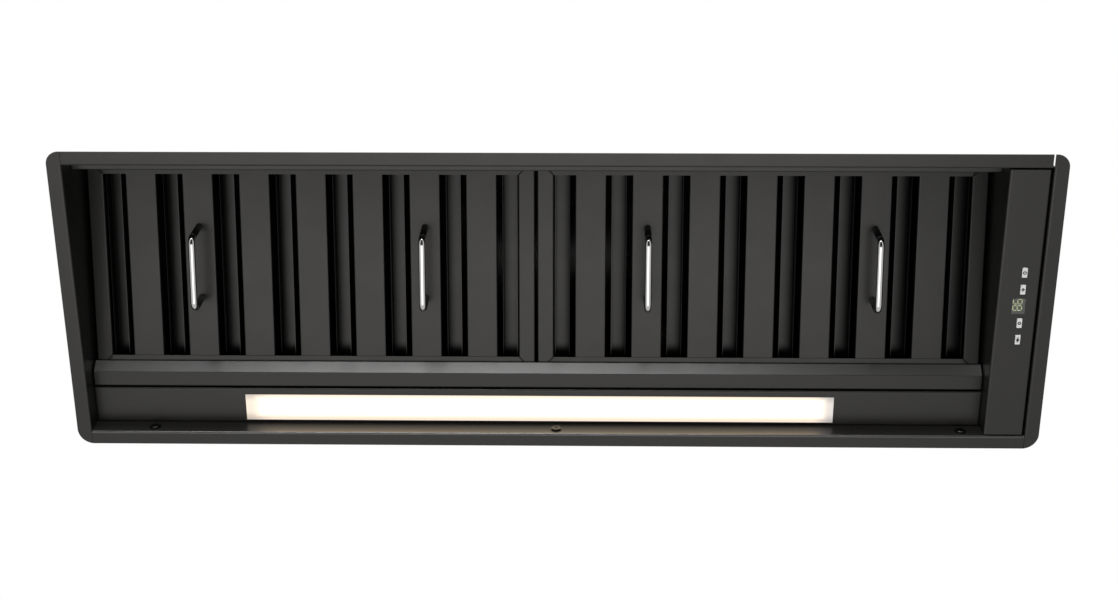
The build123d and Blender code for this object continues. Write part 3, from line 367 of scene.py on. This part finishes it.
def housed_shade(shader):
    """One in the blower's housing and below the roof, where hardly any light comes in, and where shade
    is painted.
    """
    low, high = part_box("blower_housing")
    inset = HOUSING_FLANGE + HALF_SKIN
    housing = shader.within((low.x + inset, low.y + inset, low.z - MM),
                            (high.x - inset, high.y - inset, high.z - HALF_SKIN))
    return shader.math("MAXIMUM", housing, shader.math("LESS_THAN", shader.axis("Z"), ROOF_UNDERSIDE))


def plain(name, colour, roughness, metallic=0.0, grain=600.0, relief=0.05, shade=None, gloss=0.5):
    """A surface with a fine grain and a slow change of tone, dark where the shade is one."""
    shader = Shader(name)
    shader.set(Metallic=metallic, Specular_IOR_Level=gloss)
    tone = shader.blend(shader.noise(25.0), colour, tuple(0.88 * part for part in colour))
    if shade:
        tone = shader.blend(shade(shader), tone, HOUSED_PAINTED_SHADE)
    shader.link(tone, shader.surface.inputs["Base Color"])
    shader.rough(60.0, roughness * 0.85, roughness * 1.15)
    shader.bump(shader.noise(grain), relief)
    return shader.material


def galvanised(name):
    """Zinc-coated sheet with its pattern of crystals, and painted shade inside the blower's housing."""
    shader = Shader(name)
    shader.set(Metallic=1.0)
    cells = shader.node("ShaderNodeTexVoronoi", Scale=150.0)
    shader.link(shader.place(), cells.inputs["Vector"])
    parts = shader.node("ShaderNodeSeparateColor")
    shader.link(cells.outputs["Color"], parts.inputs["Color"])
    zinc = shader.blend(parts.outputs["Red"], (0.40, 0.41, 0.42), (0.48, 0.49, 0.50))
    shader.tint(housed_shade(shader), zinc, HOUSED_PAINTED_SHADE)
    shader.link(shader.spread(parts.outputs["Green"], 0.36, 0.46), shader.surface.inputs["Roughness"])
    shader.bump(shader.noise(260.0), 0.05)
    return shader.material


def chrome(name):
    """Polished plating, bright on a handle's grip, with the legs painted dark as a painted reflection
    of the slats.
    """
    shader = Shader(name)
    shader.set(Specular_IOR_Level=0.0)
    height = filter_axes(shader)[0]
    bright = shader.ramp(height, *GRIP_BRIGHT, smooth=True)
    # The legs' dark colour is a painted reflection of the slats, lighter towards the foot
    reflection_fade = shader.ramp(height, *LEG_FOOT, smooth=True)
    leg_painted_reflection = shader.blend(reflection_fade, (0.014, 0.014, 0.014), (0.046, 0.045, 0.043))
    shader.tint(bright, leg_painted_reflection, (0.55, 0.55, 0.545))
    shader.link(bright, shader.surface.inputs["Metallic"])
    shader.rough(300.0, 0.03, 0.06)
    shader.bump(shader.noise(500.0), 0.01, 0.0001)
    return shader.material


def opal_light(name):
    """The lit diffuser: white in the middle, warm towards its long edges, dim at its ends."""
    low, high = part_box("led_diffuser")
    centre = (low + high) / 2
    shader = Shader(name)
    shader.set(Base_Color=(0.14, 0.14, 0.14), Roughness=0.4)
    x = shader.axis("X", centre)
    across = shader.ramp(shader.math("ABSOLUTE", shader.axis("Y", centre)), *LIGHT_ACROSS, smooth=True)
    along = shader.product(shader.ramp(x, *LIGHT_LEFT, smooth=True),
                           shader.ramp(x, *LIGHT_RIGHT, smooth=True))
    end = shader.blend(shader.ramp(x, *LIGHT_RIGHT_HALF), (1.0, 0.85, 0.70), (0.76, 0.71, 0.68))
    warm = shader.blend(across, (1.0, 0.84, 0.68), (1.0, 0.75, 0.48))
    shader.link(shader.blend(along, end, warm), shader.surface.inputs["Emission Color"])
    middle = shader.math("MINIMUM", across, along)
    middle = shader.ramp(shader.product(middle, middle), *LIGHT_STRENGTH)
    edge = shader.product(shader.math("MAXIMUM", across, along), LIGHT_EDGE)
    shader.link(shader.math("ADD", middle, edge), shader.surface.inputs["Emission Strength"])
    return shader.material


def clear_pane(name):
    shader = Shader(name)
    shader.set(Base_Color=(0.86, 0.92, 0.88), Roughness=0.04, Transmission_Weight=0.9, IOR=1.49)
    return shader.material


def display_face(name):
    """The display behind its pane: green-grey, with a paler strip at its right."""
    shader = Shader(name)
    shader.set(Roughness=0.35)
    body = shader.blend(shader.noise(200.0), (0.150, 0.160, 0.125), (0.130, 0.140, 0.110))
    shader.tint(shader.ramp(shader.axis("X"), *DISPLAY_STRIP), body, (0.23, 0.23, 0.25))
    return shader.material


def glowing(name, colour, strength):
    shader = Shader(name)
    shader.set(Base_Color=colour, Roughness=0.4, Emission_Color=colour, Emission_Strength=strength)
    return shader.material


# The finish of each material slot in the record
FINISHES = {
    "black_coat": powder_coat("black_coat", (0.0130, 0.0126, 0.0117), (0.0156, 0.0151, 0.0141), 0.33,
                              canopy_painted_shade),
    "filter_coat": powder_coat("filter_coat", (0.0135, 0.0130, 0.0122), (0.0161, 0.0156, 0.0146), 0.31,
                               filter_painted_shade),
    "galvanised": galvanised("galvanised"),
    "handle_chrome": chrome("handle_chrome"),
    "bright_screw": plain("bright_screw", (0.62, 0.62, 0.60), 0.28, 1.0, shade=housed_shade),
    "dark_screw": plain("dark_screw", (0.045, 0.043, 0.040), 0.25, 1.0),
    "rivet": plain("rivet", (0.03, 0.03, 0.03), 0.45),
    "opal_diffuser": opal_light("opal_diffuser"),
    "light_carrier": plain("light_carrier", (0.74, 0.75, 0.76), 0.35, 1.0),
    "light_board": plain("light_board", (0.82, 0.82, 0.80), 0.35),
    "key_cap": plain("key_cap", (0.88, 0.89, 0.89), 0.38),
    "clear_pane": clear_pane("clear_pane"),
    "display": display_face("display"),
    "dark_plastic": plain("dark_plastic", (0.020, 0.020, 0.021), 0.45),
    "circuit_board": plain("circuit_board", (0.02, 0.12, 0.05), 0.35),
    "supply_case": plain("supply_case", (0.05, 0.05, 0.052), 0.5),
    "motor_coat": plain("motor_coat", (0.05, 0.053, 0.056), 0.4),
    "winding": plain("winding", (0.62, 0.26, 0.10), 0.35, 1.0, grain=1500.0, relief=0.3),
    "bearing": plain("bearing", (0.55, 0.38, 0.16), 0.4, 1.0),
    "shaft_steel": plain("shaft_steel", (0.56, 0.57, 0.58), 0.25, 1.0),
    "capacitor_case": plain("capacitor_case", (0.20, 0.20, 0.21), 0.4),
    "terminal_plastic": plain("terminal_plastic", (0.75, 0.75, 0.72), 0.45),
}
# Dark lines: the mitre joints, and painted shade in the screws' cross recesses
DARK_LINE = plain("dark_line", (0.003, 0.003, 0.003), 0.9, gloss=0.0)
SEAM_LINE = plain("seam_line", (0.006, 0.006, 0.006), 0.9, gloss=0.12)
KEY_MARK = plain("key_mark", (0.020, 0.020, 0.022), 0.6, gloss=0.1)
LIT_DIGIT = glowing("lit_digit", (0.50, 0.52, 0.26), 0.6)


def dress_nodes():
    """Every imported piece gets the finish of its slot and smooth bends."""
    for row in frame["record"]["subparts"]:
        piece = frame["nodes"][row["node"]]
        piece.data.materials.clear()
        piece.data.materials.append(FINISHES[row["material_slot"]])
        piece.data.polygons.foreach_set("use_smooth", [True] * len(piece.data.polygons))
        piece.data.set_sharp_from_angle(angle=SMOOTH_BELOW)


# Outlines of small plates

def line_outline(start, end, width):
    """A thin straight strip between two points of a plane."""
    start, end = Vector(start), Vector(end)
    along = (end - start).normalized()
    side = Vector((-along.y, along.x)) * width / 2
    return [tuple(corner) for corner in (start + side, start - side, end - side, end + side)]


def mitre_outline(outer, inner, width):
    """A strip from a frame's outer corner to its inner one, which stays inside the frame."""
    step_x, step_y = [width / 2 ** 0.5 * (1 if a > b else -1) for a, b in zip(outer, inner)]
    outline = [outer, (outer[0], outer[1] - step_y), (inner[0] + step_x, inner[1]),
               inner, (inner[0], inner[1] + step_y), (outer[0] - step_x, outer[1])]
    return outline if step_x * step_y < 0 else outline[::-1]


def bar_outline(x, y, size_x, size_y):
    return [(x - size_x / 2, y - size_y / 2), (x + size_x / 2, y - size_y / 2),
            (x + size_x / 2, y + size_y / 2), (x - size_x / 2, y + size_y / 2)]


def arc_outline(inner, outer, start, end, steps=20):
    """Part of a ring round the origin, between two angles in degrees."""
    turns = [radians(start + (end - start) * step / steps) for step in range(steps + 1)]
    return ([(outer * cos(turn), outer * sin(turn)) for turn in turns]
            + [(inner * cos(turn), inner * sin(turn)) for turn in reversed(turns)])


def disc_outline(radius, steps=28):
    return [(radius * cos(2 * pi * step / steps), radius * sin(2 * pi * step / steps))
            for step in range(steps)]


def turned(outline, degrees):
    turn = radians(degrees)
    return [(x * cos(turn) - y * sin(turn), x * sin(turn) + y * cos(turn)) for x, y in outline]


def scaled(outline):
    """An outline drawn in millimetres, in metres."""
    return [metres(x, y) for x, y in outline]


# Small plates

def plate_points(outline, low, high):
    """The corners and faces of a flat plate: an outline between two heights."""
    count = len(outline)
    points = [(x, y, low) for x, y in outline] + [(x, y, high) for x, y in outline]
    faces = [tuple(reversed(range(count))), tuple(range(count, 2 * count))]
    faces += [(i, (i + 1) % count, count + (i + 1) % count, count + i) for i in range(count)]
    return points, faces


def plates(name, outlines, heights, material, body, place=Matrix()):
    """Flat plates with outlines in a plane of their own, put in place as one piece."""
    points, faces = [], []
    for outline in outlines:
        corners, sides = plate_points(outline, *heights)
        faces += [tuple(len(points) + corner for corner in side) for side in sides]
        points += corners
    mesh = bpy.data.meshes.new(name)
    mesh.from_pydata([tuple(place @ Vector(point)) for point in points], [], faces)
    mesh.materials.append(material)
    piece = bpy.data.objects.new(name, mesh)
    bpy.context.scene.collection.objects.link(piece)
    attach(piece, body)


def filter_place(centre_x):
    """From a filter's own frame to the hood's."""
    return (Matrix.Translation((centre_x, FILTER_CENTRE_Y, FILTER_CENTRE_Z))
            @ Matrix.Rotation(-FILTER_TILT, 4, "X"))


def flange_seams():
    """The seams between the side walls' flanges and those of the front and rear."""
    wall_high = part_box("canopy_shell")[1]
    for row, (side, end) in enumerate([(-1, -1), (-1, 1), (1, 1)]):
        x = side * wall_high.x
        outline = line_outline((x, end * SEAM_START_Y), (x, end * cad_high.y), SEAM_WIDTH)
        plates(f"flange_seam_{row}", [outline], (-PROUD, SUNK), SEAM_LINE, "hood")


def filter_mitres():
    """The short mitre lines at the corners of both filters' frames."""
    for side in ("left", "right"):
        low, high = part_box(f"filter_frame_{side}")
        half_x, half_y = (high.x - low.x) / 2, FILTER_LENGTH / 2
        outlines = [mitre_outline((sx * half_x, sy * half_y),
                                  (sx * (half_x - RAIL_WIDTH), sy * (half_y - RAIL_WIDTH)), MITRE_WIDTH)
                    for sx in (-1, 1) for sy in (-1, 1)]
        plates(f"filter_mitres_{side}", outlines, (-PROUD, SUNK), DARK_LINE, f"filter_{side}",
               filter_place((high.x + low.x) / 2))


def key_marks():
    """A plain mark on each key, drawn in millimetres: on and off, the fan, the timer and the light."""
    marks = {
        "button_power": [arc_outline(1.15, 2.2, -55, 235), bar_outline(0, -1.5, 1.0, 2.4)],
        "button_fan": [turned([(0.3, 0), (1.3, -1.15), (2.3, 0), (1.3, 0.9)], turn)
                       for turn in (0, 90, 180, 270)] + [disc_outline(0.75)],
        "button_timer": [arc_outline(0.85, 2.0, 0, 180), arc_outline(0.85, 2.0, 180, 360),
                         [(-2.6, 0), (-1.7, -0.9), (-1.7, 0.9)]],
        "button_light": [disc_outline(1.75), bar_outline(0, -2.6, 2.6, 0.7),
                         bar_outline(0, 2.1, 2.0, 0.8), bar_outline(0, 3.1, 1.4, 0.5)],
    }
    for row, name in enumerate(KEY_NAMES):
        y = (row - 2 if row < 2 else row - 1) * KEY_PITCH
        plates(f"{name}_mark", [scaled(outline) for outline in marks[name]], (-PROUD, SUNK), KEY_MARK,
               f"{name}_key", Matrix.Translation((KEY_X, y, KEY_FACE_Z)))


def display_digits():
    """An 8 and a 6 of lit bars, turned a quarter, behind the pane."""
    outlines = []
    for y in DIGIT_PLACES:
        for x in (-DIGIT_HEIGHT / 2, 0, DIGIT_HEIGHT / 2):
            outlines.append(bar_outline(DIGIT_X + x, y, DIGIT_STROKE,
                                        DIGIT_WIDTH - DIGIT_STROKE - 2 * DIGIT_GAP))
        for x in (-DIGIT_HEIGHT / 4, DIGIT_HEIGHT / 4):
            for side in (-DIGIT_WIDTH / 2, DIGIT_WIDTH / 2):
                if (y, x < 0, side < 0) == (DIGIT_PLACES[0], True, True):
                    continue
                outlines.append(bar_outline(DIGIT_X + x, y + side,
                                            DIGIT_HEIGHT / 2 - DIGIT_STROKE - 2 * DIGIT_GAP,
                                            DIGIT_STROKE))
    plates("display_digits", outlines, (DIGIT_Z, DIGIT_Z + 2 * PROUD), LIT_DIGIT, "hood")


def screw_crosses():
    """The cross in the head of each screw on the rear wall, a dark plate of painted shade for its
    recess.
    """
    for row, (x, turn) in enumerate(FIXING_TURNS):
        outlines = [scaled(turned(bar_outline(0, 0, CROSS_REACH, CROSS_STROKE), turn)),
                    scaled(turned(bar_outline(0, 0, CROSS_STROKE, CROSS_REACH), turn))]
        place = Matrix.Translation((x, FIXING_FACE_Y, FIXING_Z)) @ Matrix.Rotation(pi / 2, 4, "X")
        plates(f"fixing_cross_{row}", outlines, (-SUNK, PROUD), DARK_LINE, "hood", place)


# Camera, surroundings and light

def make_camera():
    forward = Vector((0, cos(CAMERA_ELEVATION), sin(CAMERA_ELEVATION)))
    up = Vector((0, -sin(CAMERA_ELEVATION), cos(CAMERA_ELEVATION)))
    right = Vector((1, 0, 0))
    turn = Matrix.Rotation(CAMERA_YAW, 3, "Z")
    forward, up, right = turn @ forward, turn @ up, turn @ right
    rolled_right = right * cos(CAMERA_ROLL) + up * sin(CAMERA_ROLL)
    rolled_up = up * cos(CAMERA_ROLL) - right * sin(CAMERA_ROLL)
    data = bpy.data.cameras.new("camera")
    data.sensor_width = SENSOR_WIDTH
    data.lens = FOCAL_PIXELS * SENSOR_WIDTH / PHOTO_WIDTH
    data.clip_end = CAMERA_REACH
    camera = bpy.data.objects.new("camera", data)
    axes = Matrix((rolled_right, rolled_up, -forward)).transposed()
    camera.matrix_world = Matrix.Translation(CAMERA_PLACE) @ axes.to_4x4()
    bpy.context.scene.collection.objects.link(camera)
    bpy.context.scene.camera = camera


def pale_floor():
    """A plain pale floor, lifted a little where it is seen or mirrored."""
    shader = Shader("pale_floor")
    shader.set(Roughness=0.8, Emission_Color=WHITE)
    shader.tint(shader.noise(25.0), (0.88, 0.88, 0.87), (0.86, 0.86, 0.85))
    path = shader.node("ShaderNodeLightPath")
    mirrored = shader.product(path.outputs["Is Glossy Ray"], MIRRORED_FLOOR)
    seen = shader.product(path.outputs["Is Camera Ray"], SEEN_FLOOR)
    shader.link(shader.math("ADD", mirrored, seen), shader.surface.inputs["Emission Strength"])
    return shader.material


def flat_stage(name, low, high, height, material):
    """A level sheet of the surroundings, which isn't part of the hood."""
    mesh = bpy.data.meshes.new(name)
    mesh.from_pydata([(low[0], low[1], height), (high[0], low[1], height),
                      (high[0], high[1], height), (low[0], high[1], height)], [], [(0, 1, 2, 3)])
    mesh.materials.append(material)
    sheet = bpy.data.objects.new(name, mesh)
    bpy.context.scene.collection.objects.link(sheet)
    return sheet


def make_floor():
    half = FLOOR_SIZE / 2
    flat_stage("floor", (-half, -half), (half, half), FLOOR_Z, pale_floor())


def make_dark_card():
    """A dark card in front, below the hood, which only metal and gloss show."""
    card = flat_stage("dark_card", CARD_LOW, CARD_HIGH, CARD_Z,
                      plain("dark_card", (0.02, 0.02, 0.02), 0.9))
    card.visible_camera = False
    card.visible_diffuse = False
    card.visible_transmission = False
    card.visible_shadow = False


def make_world():
    """White where it is seen or mirrored, dimmer where it lights the hood."""
    world = bpy.data.worlds.new("world")
    bpy.context.scene.world = world
    world.use_nodes = True
    tree = world.node_tree
    background = tree.nodes["Background"]
    path = tree.nodes.new("ShaderNodeLightPath")
    seen = path.outputs["Is Camera Ray"]
    for ray in ("Is Transmission Ray", "Is Glossy Ray"):
        both = tree.nodes.new("ShaderNodeMath")
        both.operation = "MAXIMUM"
        tree.links.new(seen, both.inputs[0])
        tree.links.new(path.outputs[ray], both.inputs[1])
        seen = both.outputs[0]
    strength = tree.nodes.new("ShaderNodeMapRange")
    for key, number in (("From Min", 0.0), ("From Max", 1.0), ("To Min", SHADE_LEVEL), ("To Max", 1.0)):
        strength.inputs[key].default_value = number
    tree.links.new(seen, strength.inputs["Value"])
    tree.links.new(strength.outputs["Result"], background.inputs["Strength"])
    background.inputs["Color"].default_value = (*WHITE, 1.0)


def area_light(name, place, target, size, power, colour):
    data = bpy.data.lights.new(name, "AREA")
    data.shape = "RECTANGLE"
    data.size, data.size_y = size
    data.energy = power
    data.color = colour
    lamp = bpy.data.objects.new(name, data)
    lamp.location = place
    lamp.rotation_mode = "QUATERNION"
    lamp.rotation_quaternion = (Vector(target) - Vector(place)).to_track_quat("-Z", "Y")
    lamp.visible_camera = False
    bpy.context.scene.collection.objects.link(lamp)


bpy.context.scene.view_settings.view_transform = "Standard"
make_camera()
make_floor()
make_dark_card()
make_world()
for lamp_values in LAMPS:
    area_light(*lamp_values)
dress_nodes()
flange_seams()
filter_mitres()
key_marks()
display_digits()
screw_crosses()
